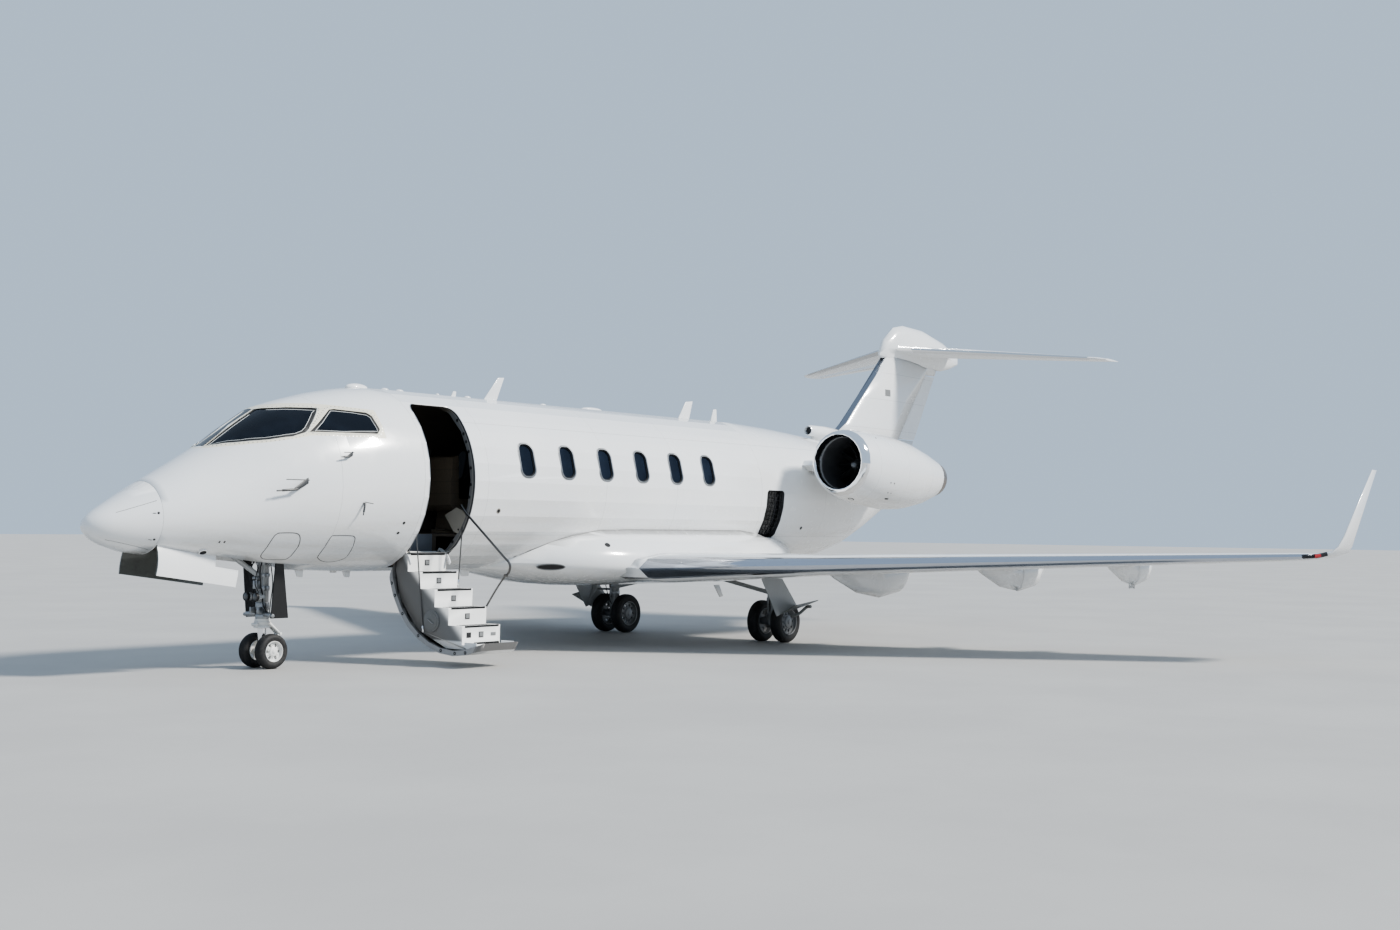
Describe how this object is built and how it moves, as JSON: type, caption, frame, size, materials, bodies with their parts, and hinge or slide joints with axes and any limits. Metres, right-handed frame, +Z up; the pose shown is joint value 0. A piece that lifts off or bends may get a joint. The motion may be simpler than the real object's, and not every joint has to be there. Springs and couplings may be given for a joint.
{
  "type": "business jet",
  "caption": "Twin-engined business jet with a T-tail, parked on its gear, with the boarding stair down, moving control surfaces, flaps, fans, wheels and nose gear doors.",
  "frame": {"origin": "on the ground under the middle of the box round the aircraft", "axes": "+X aft, +Y to starboard, +Z up"},
  "size_m": [20.92, 21.0172, 6.105],
  "materials": {
    "paint": "gloss white paint",
    "polished": "polished bare metal",
    "glass": "dark tinted glass",
    "trim": "dark satin",
    "seat": "light tan leather",
    "engine_metal": "dull metal",
    "gear_metal": "light grey paint on bare metal",
    "rim": "painted light metal",
    "tyre": "black rubber",
    "step": "satin grey",
    "rail": "bright tube"
  },
  "bodies": {
    "airframe": {"radome": "paint", "nose_section": "paint", "cabin_section": "paint", "aft_section": "paint", "tail_cone": "paint", "belly_fairing": "paint", "fin": "paint", "tailplane": "paint", "air_scoop": "paint", "wing_left": "paint", "wing_right": "paint", "nacelle_left": "paint", "nacelle_right": "paint", "pylon_left": "paint", "pylon_right": "paint", "leading_edge_left": "polished", "leading_edge_right": "polished", "windscreen_left": "glass", "windscreen_right": "glass", "side_window_left": "glass", "side_window_right": "glass", "cabin_floor": "trim", "instrument_panel": "trim", "nose_leg_door_left": "trim", "nose_leg_door_right": "trim", "pilot_seats": "seat", "cabin_seats": "seat", "engine_left": "engine_metal", "engine_right": "engine_metal", "nose_gear_leg": "gear_metal", "main_gear_leg_left": "gear_metal", "main_gear_leg_right": "gear_metal"},
    "rudder": {"rudder": "paint"},
    "nose_fork": {"nose_fork": "gear_metal"},
    "nose_wheels": {"nose_wheel_hubs": "rim", "nose_tyre_left": "tyre", "nose_tyre_right": "tyre"},
    "airstair": {"airstair_door": "paint", "airstair_steps": "step"},
    "handrail_post": {"handrail_post": "rail"},
    "handrail": {"handrail": "rail"},
    "elevator_left": {"elevator_left": "paint"},
    "aileron_left": {"aileron_left": "paint"},
    "flap_inboard_left": {"flap_inboard_left": "paint"},
    "flap_outboard_left": {"flap_outboard_left": "paint"},
    "fan_left": {"fan_left": "engine_metal"},
    "nose_gear_door_left": {"nose_gear_door_left": "paint"},
    "main_wheels_left": {"main_wheel_hubs_left": "rim", "main_tyre_outer_left": "tyre", "main_tyre_inner_left": "tyre"},
    "elevator_right": {"elevator_right": "paint"},
    "aileron_right": {"aileron_right": "paint"},
    "flap_inboard_right": {"flap_inboard_right": "paint"},
    "flap_outboard_right": {"flap_outboard_right": "paint"},
    "fan_right": {"fan_right": "engine_metal"},
    "nose_gear_door_right": {"nose_gear_door_right": "paint"},
    "main_wheels_right": {"main_wheel_hubs_right": "rim", "main_tyre_outer_right": "tyre", "main_tyre_inner_right": "tyre"}
  },
  "joints": [
    {"name": "rudder_hinge", "type": "hinge", "parent": "airframe", "child": "rudder", "pos_m": [7.78, 0, 3.76], "axis": [0.6226, 0, 0.7825], "range_deg": [-25, 25]},
    {"name": "elevator_left_hinge", "type": "hinge", "parent": "airframe", "child": "elevator_left", "pos_m": [9.1561, -0.42, 5.56499], "axis": [-0.318, 0.9464, 0.0564], "range_deg": [-20, 15]},
    {"name": "aileron_left_hinge", "type": "hinge", "parent": "airframe", "child": "aileron_left", "pos_m": [2.85628, -7.78, 1.47636], "axis": [-0.3862, 0.9218, -0.0334], "range_deg": [-20, 20]},
    {"name": "flap_outboard_left_hinge", "type": "hinge", "parent": "airframe", "child": "flap_outboard_left", "pos_m": [1.89449, -5.72339, 0.985], "axis": [-0.3896, 0.9204, -0.0334], "range_deg": [0, 30]},
    {"name": "flap_inboard_left_hinge", "type": "hinge", "parent": "airframe", "child": "flap_inboard_left", "pos_m": [1.17962, -1.87, 1.26307], "axis": [-0.0871, 0.9956, -0.0356], "range_deg": [0, 30]},
    {"name": "fan_left_spin", "type": "hinge", "parent": "airframe", "child": "fan_left", "pos_m": [2.49, -2.03, 3.03], "axis": [0.9984, 0, -0.0558], "continuous": true},
    {"name": "nose_gear_door_left_hinge", "type": "hinge", "parent": "airframe", "child": "nose_gear_door_left", "pos_m": [-9.694, -0.345, 1.585], "axis": [0.989, 0, -0.1476], "range_deg": [0, 76]},
    {"name": "main_wheels_left_spin", "type": "hinge", "parent": "airframe", "child": "main_wheels_left", "pos_m": [1.056, -1.729, 0.34], "axis": [0, 1, 0], "continuous": true},
    {"name": "elevator_right_hinge", "type": "hinge", "parent": "airframe", "child": "elevator_right", "pos_m": [9.1561, 0.42, 5.56499], "axis": [0.318, 0.9464, -0.0564], "range_deg": [-20, 15]},
    {"name": "aileron_right_hinge", "type": "hinge", "parent": "airframe", "child": "aileron_right", "pos_m": [2.85628, 7.78, 1.47636], "axis": [0.3862, 0.9218, 0.0334], "range_deg": [-20, 20]},
    {"name": "flap_outboard_right_hinge", "type": "hinge", "parent": "airframe", "child": "flap_outboard_right", "pos_m": [1.89449, 5.72339, 0.985], "axis": [0.3896, 0.9204, 0.0334], "range_deg": [0, 30]},
    {"name": "flap_inboard_right_hinge", "type": "hinge", "parent": "airframe", "child": "flap_inboard_right", "pos_m": [1.17962, 1.87, 1.26307], "axis": [0.0871, 0.9956, 0.0356], "range_deg": [0, 30]},
    {"name": "fan_right_spin", "type": "hinge", "parent": "airframe", "child": "fan_right", "pos_m": [2.49, 2.03, 3.03], "axis": [0.9984, 0, -0.0558], "continuous": true},
    {"name": "nose_gear_door_right_hinge", "type": "hinge", "parent": "airframe", "child": "nose_gear_door_right", "pos_m": [-9.694, 0.345, 1.585], "axis": [-0.989, 0, 0.1476], "range_deg": [0, 76]},
    {"name": "main_wheels_right_spin", "type": "hinge", "parent": "airframe", "child": "main_wheels_right", "pos_m": [1.056, 1.729, 0.34], "axis": [0, 1, 0], "continuous": true},
    {"name": "nose_steering", "type": "hinge", "parent": "airframe", "child": "nose_fork", "pos_m": [-7.9, 0, 0.6], "axis": [0, 0, 1], "range_deg": [-60, 60]},
    {"name": "nose_wheels_spin", "type": "hinge", "parent": "nose_fork", "child": "nose_wheels", "pos_m": [-7.874, 0, 0.225], "axis": [0, 1, 0], "continuous": true},
    {"name": "airstair_hinge", "type": "hinge", "parent": "airframe", "child": "airstair", "pos_m": [-5.72, -0.5, 1.485], "axis": [-1, 0, 0], "range_deg": [0, 122.5]},
    {"name": "handrail_post_hinge", "type": "hinge", "parent": "airstair", "child": "handrail_post", "pos_m": [-5.35, -1.49, 0.757], "axis": [1, 0, 0], "range_deg": [0, 82.6]},
    {"name": "handrail_hinge", "type": "hinge", "parent": "handrail_post", "child": "handrail", "pos_m": [-5.33, -1.851, 1.202], "axis": [-1, 0, 0], "range_deg": [0, 82.6]}
  ],
  "couplings": [
    {"joint": "elevator_right_hinge", "follows": "elevator_left_hinge", "ratio": 1},
    {"joint": "aileron_right_hinge", "follows": "aileron_left_hinge", "ratio": -1},
    {"joint": "flap_outboard_right_hinge", "follows": "flap_outboard_left_hinge", "ratio": 1},
    {"joint": "flap_inboard_left_hinge", "follows": "flap_outboard_left_hinge", "ratio": 1},
    {"joint": "flap_inboard_right_hinge", "follows": "flap_outboard_left_hinge", "ratio": 1},
    {"joint": "nose_gear_door_right_hinge", "follows": "nose_gear_door_left_hinge", "ratio": 1},
    {"joint": "handrail_post_hinge", "follows": "airstair_hinge", "ratio": 0.67347},
    {"joint": "handrail_hinge", "follows": "airstair_hinge", "ratio": 0.67347}
  ]
}
